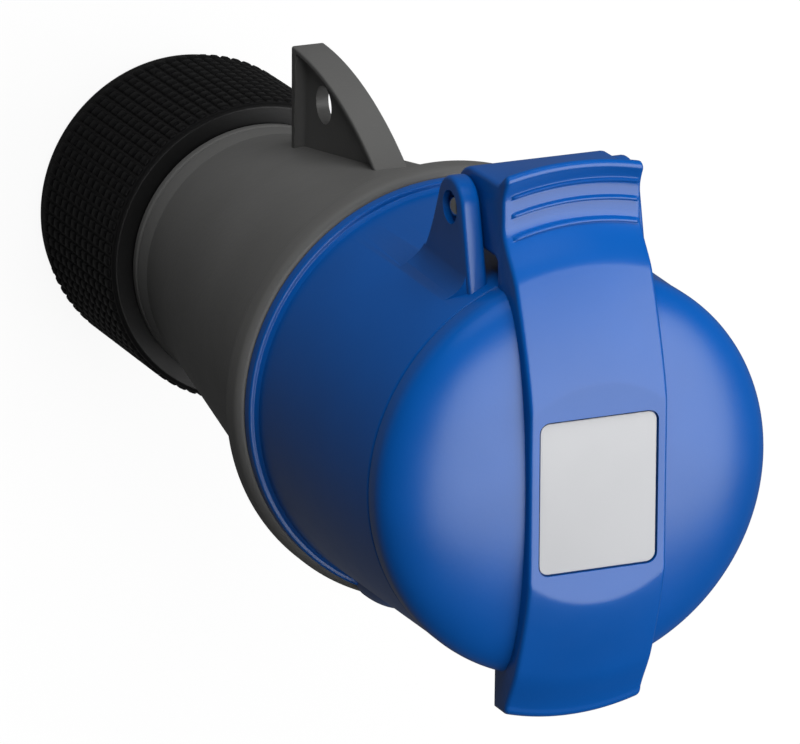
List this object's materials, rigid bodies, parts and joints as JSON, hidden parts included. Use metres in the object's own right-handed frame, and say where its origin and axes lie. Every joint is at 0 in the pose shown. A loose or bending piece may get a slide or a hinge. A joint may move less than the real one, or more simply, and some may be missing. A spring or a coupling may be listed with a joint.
{
  "type": "industrial cable coupler",
  "caption": "Industrial power connector for a cable end, with a sprung domed lid, keyed round socket, tapered grip with a hanging lug, and a ribbed gland nut.",
  "frame": {"origin": "on the plane the gland nut stands on, under the middle of the outline seen from above; the coupler's axis is parallel to Z through x 0, y -0.006075", "axes": "+Z along the coupler's axis from the gland nut to the lid, +Y towards the lid's hinge, thumb lever and hanging lug, +X to the right seen from the lid"},
  "size_m": [0.0788, 0.0976, 0.1889],
  "materials": {
    "blue_plastic": "satin moulded",
    "grey_plastic": "satin moulded",
    "black_plastic": "satin moulded, knurled",
    "label_film": "blank film",
    "rubber": "matte",
    "carrier_plastic": "fine matte",
    "brass": "bright turned",
    "steel": "bright drawn"
  },
  "bodies": {
    "housing": {"rear_housing": "grey_plastic", "front_housing": "blue_plastic", "contact_carrier": "carrier_plastic", "carrier_back_plate": "carrier_plastic", "contact_earth": "brass", "contact_line_1": "brass", "contact_line_2": "brass", "contact_line_3": "brass", "contact_neutral": "brass", "contact_spring_earth": "steel", "contact_spring_line_1": "steel", "contact_spring_line_2": "steel", "contact_spring_line_3": "steel", "contact_spring_neutral": "steel", "terminal_screw_earth": "steel", "terminal_screw_line_1": "steel", "terminal_screw_line_2": "steel", "terminal_screw_line_3": "steel", "terminal_screw_neutral": "steel", "plate_screw_1": "steel", "plate_screw_2": "steel", "plate_screw_3": "steel", "hinge_pin": "steel", "lid_spring": "steel", "clamp_cage": "carrier_plastic", "gland_seal": "rubber"},
    "sprung_lid": {"lid": "blue_plastic", "label_plate": "label_film", "lid_gasket": "rubber"},
    "nut_slide": {"slip_ring": "carrier_plastic"},
    "nut": {"gland_nut": "black_plastic"}
  },
  "joints": [
    {"name": "lid_hinge", "type": "hinge", "parent": "housing", "child": "sprung_lid", "pos_m": [0, 0.03893, 0.1638], "axis": [-1, 0, 0], "range_deg": [0, 110], "stiffness_Nm_per_rad": 0.03, "springref_deg": -68.75, "deforming": ["lid_spring"]},
    {"name": "nut_travel", "type": "slide", "parent": "housing", "child": "nut_slide", "axis": [0, 0, -1], "range_m": [0, 0.009]},
    {"name": "nut_turn", "type": "hinge", "parent": "nut_slide", "child": "nut", "pos_m": [0, -0.00607, 0.02], "axis": [0, 0, -1], "range_deg": [0, 1080]}
  ],
  "couplings": [
    {"joint": "nut_travel", "follows": "nut_turn", "m_per_rad": 0.00047746}
  ]
}
